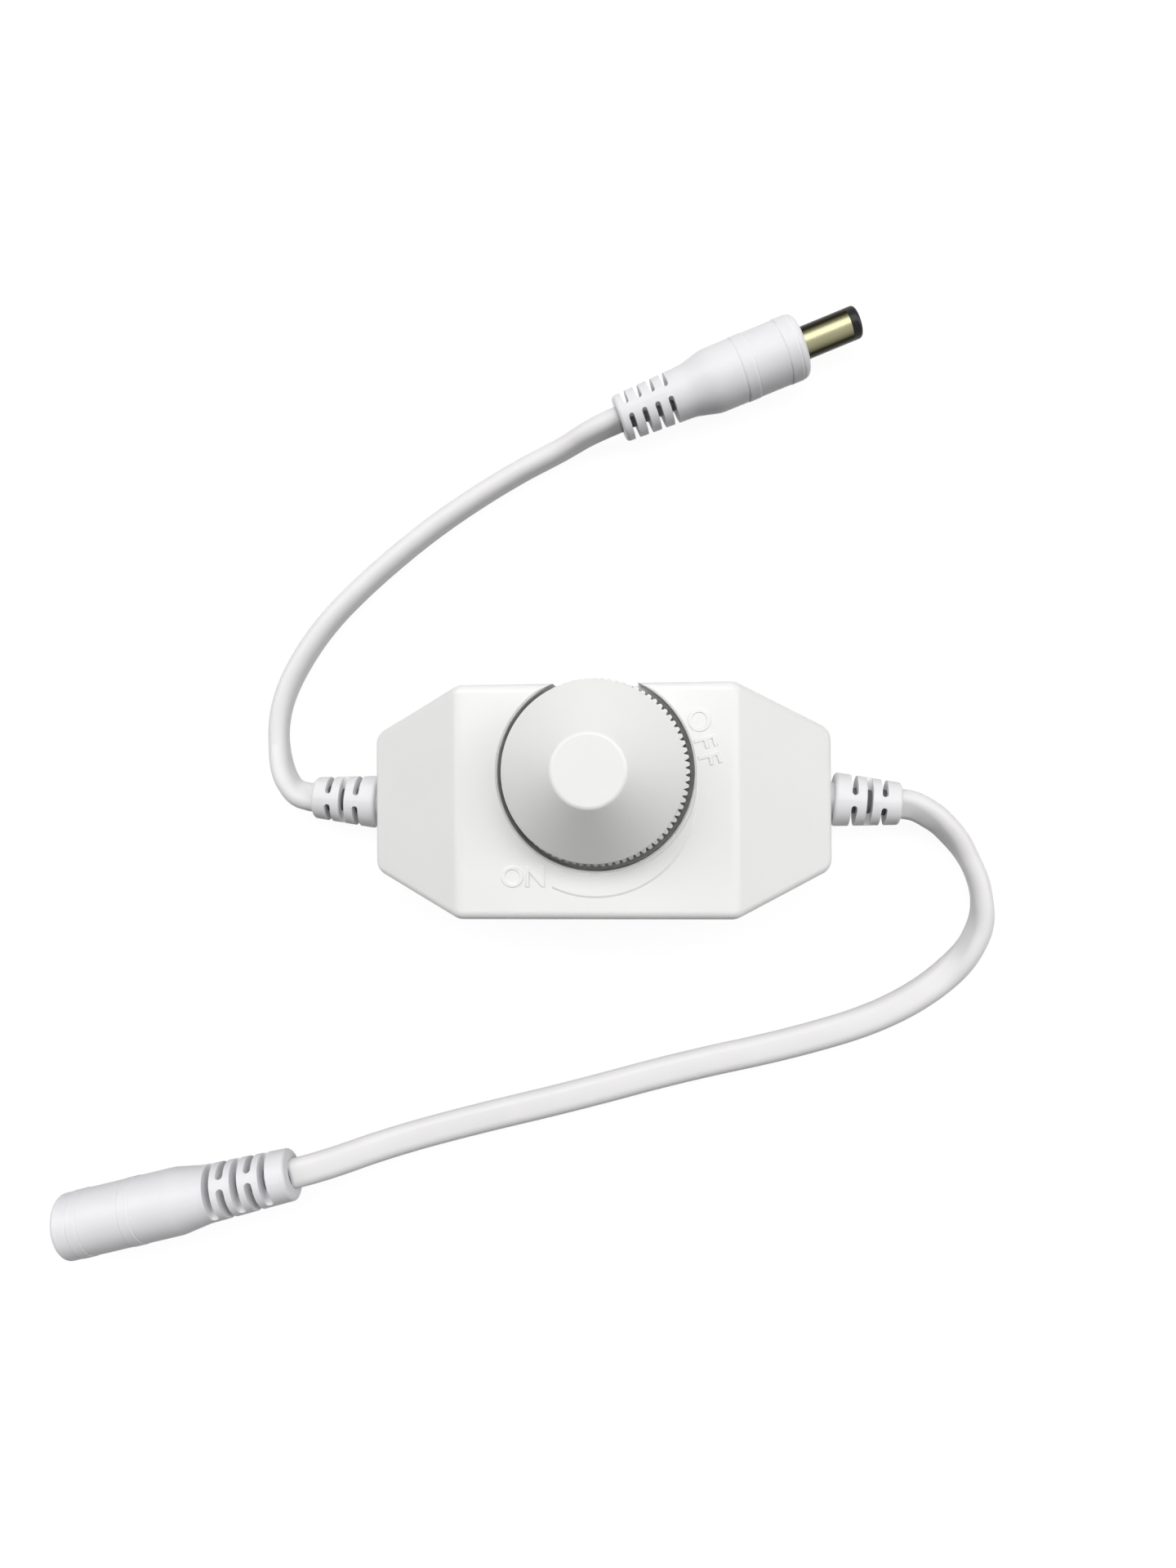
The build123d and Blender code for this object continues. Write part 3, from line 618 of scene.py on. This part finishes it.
def show_in_sight(nodes, links, hidden, seen, output):
    """Shows one shader to the camera and in reflections, and the other to light that bounces."""
    path = nodes.new("ShaderNodeLightPath")
    share = path.outputs["Is Camera Ray"]
    for ray in ("Is Glossy Ray", "Is Transmission Ray"):
        either = nodes.new("ShaderNodeMath")
        either.operation = "MAXIMUM"
        links.new(share, either.inputs[0])
        links.new(path.outputs[ray], either.inputs[1])
        share = either.outputs["Value"]
    mix = nodes.new("ShaderNodeMixShader")
    links.new(share, mix.inputs["Fac"])
    links.new(hidden, mix.inputs[1])
    links.new(seen, mix.inputs[2])
    links.new(mix.outputs["Shader"], output)


def floor_material():
    """White paper that keeps a faint shadow and throws little light back."""
    sheet = Shader("floor_white", (0.07, 0.07, 0.074), 0.9)
    nodes = sheet.nodes
    links = sheet.links
    distance = sheet.measure("LENGTH")
    strength = sheet.remap(distance, FLOOR_NEAR, FLOOR_FAR, FLOOR_GLOW_NEAR, FLOOR_GLOW_FAR)
    glow = nodes.new("ShaderNodeEmission")
    glow.inputs["Color"].default_value = WHITE
    links.new(strength, glow.inputs["Strength"])
    lit = nodes.new("ShaderNodeBsdfDiffuse")
    lit.inputs["Color"].default_value = (0.1, 0.1, 0.1, 1.0)
    paper = nodes.new("ShaderNodeAddShader")
    links.new(glow.outputs["Emission"], paper.inputs[0])
    links.new(lit.outputs["BSDF"], paper.inputs[1])
    output = nodes["Material Output"].inputs["Surface"]
    show_in_sight(nodes, links, sheet.shader.outputs["BSDF"], paper.outputs["Shader"], output)
    return sheet.material


def make_floor():
    reach = FLOOR_REACH
    corners = [(-reach, -reach, 0), (reach, -reach, 0), (reach, reach, 0), (-reach, reach, 0)]
    floor = mesh_object("floor", corners, [(0, 1, 2, 3)], floor_material(), smooth=False)


def make_world():
    world = bpy.data.worlds.new("studio")
    world.use_nodes = True
    nodes = world.node_tree.nodes
    links = world.node_tree.links
    sky = nodes["Background"]
    sky.inputs["Color"].default_value = (0.97, 0.98, 1.0, 1.0)
    sky.inputs["Strength"].default_value = SKY_STRENGTH
    seen = nodes.new("ShaderNodeBackground")
    seen.inputs["Color"].default_value = WHITE
    seen.inputs["Strength"].default_value = 1.0
    output = nodes["World Output"].inputs["Surface"]
    show_in_sight(nodes, links, sky.outputs["Background"], seen.outputs["Background"], output)
    bpy.context.scene.world = world


def make_lights():
    for name, place, size, power in LIGHTS:
        light = bpy.data.lights.new(name, "AREA")
        light.shape = "RECTANGLE"
        light.size = size[0]
        light.size_y = size[1]
        light.energy = power
        obj = link(bpy.data.objects.new(name, light))
        obj.location = place
        obj.rotation_euler = (-Vector(place)).to_track_quat("-Z", "Y").to_euler()


def make_camera():
    camera = bpy.data.cameras.new("camera")
    camera.lens = CAMERA_LENS
    camera.sensor_width = CAMERA_SENSOR
    camera.clip_start = CAMERA_NEAR
    obj = link(bpy.data.objects.new("camera", camera))
    obj.location = CAMERA_PLACE
    obj.rotation_euler = [math.radians(angle) for angle in CAMERA_TURN]
    bpy.context.scene.camera = obj


materials = make_materials()
dress_nodes(materials)
make_leads(materials["jacket_white"])
make_marks(materials["case_white"])
make_floor()
make_world()
make_lights()
make_camera()
bpy.context.scene.view_settings.view_transform = "Standard"
